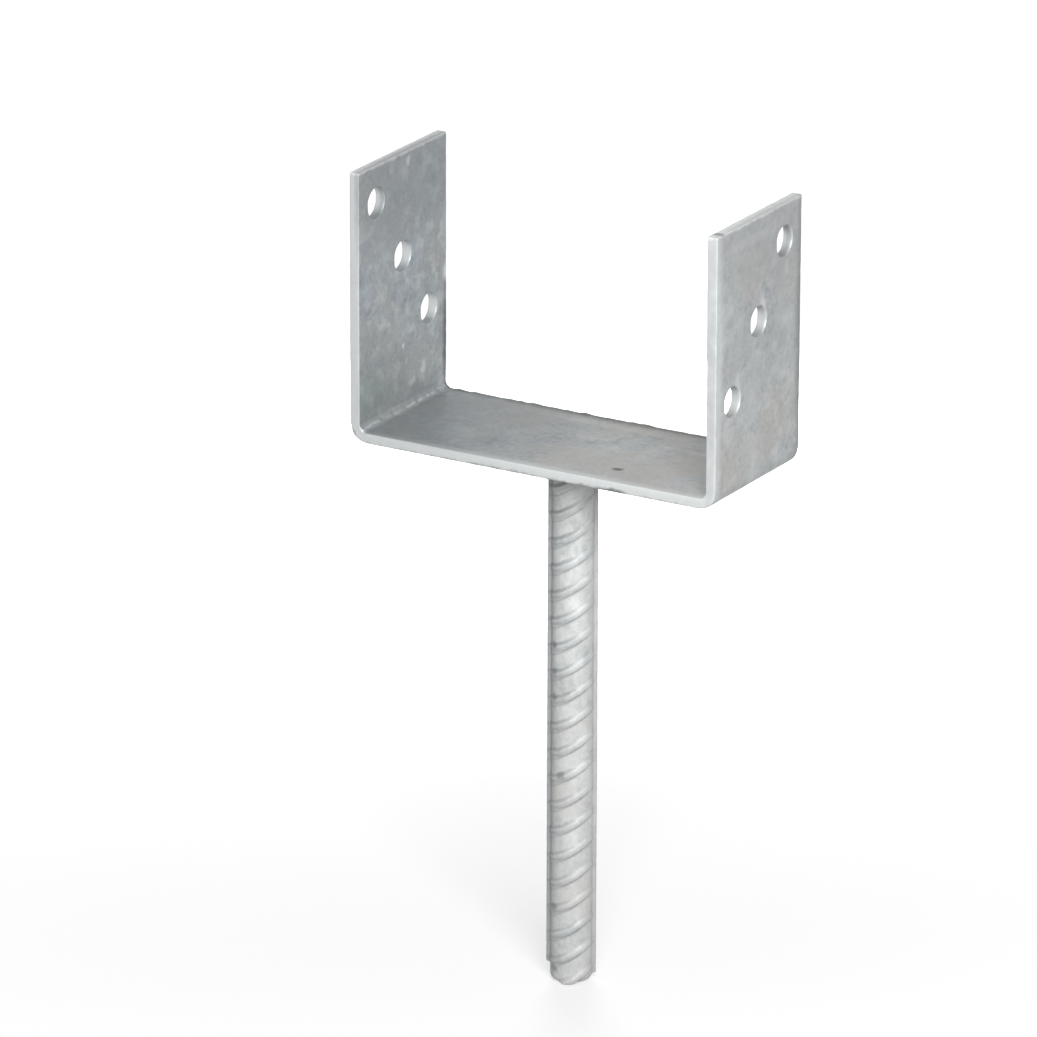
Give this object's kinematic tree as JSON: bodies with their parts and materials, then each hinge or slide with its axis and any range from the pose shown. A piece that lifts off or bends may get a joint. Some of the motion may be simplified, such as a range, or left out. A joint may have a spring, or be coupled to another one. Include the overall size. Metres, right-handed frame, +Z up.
{
  "type": "timber post base",
  "caption": "U-shaped post base folded from flat steel, with slanting rows of screw holes in its ears and a ribbed anchor bar welded underneath.",
  "frame": {"origin": "middle of the strip's underside, where the anchor bar meets it; ear height and bar length both start here", "axes": "+X across the post from ear to ear, +Y along the strip's width, +Z up along the ears"},
  "size_m": [0.149, 0.06, 0.3],
  "materials": {
    "galvanised_strip": "hot-dip galvanised",
    "galvanised_bar": "hot-dip galvanised",
    "galvanised_weld": "hot-dip galvanised over the weld's ripples"
  },
  "bodies": {
    "root": {"u_bracket": "galvanised_strip", "anchor_bar": "galvanised_bar", "weld_bead": "galvanised_weld"}
  },
  "joints": []
}
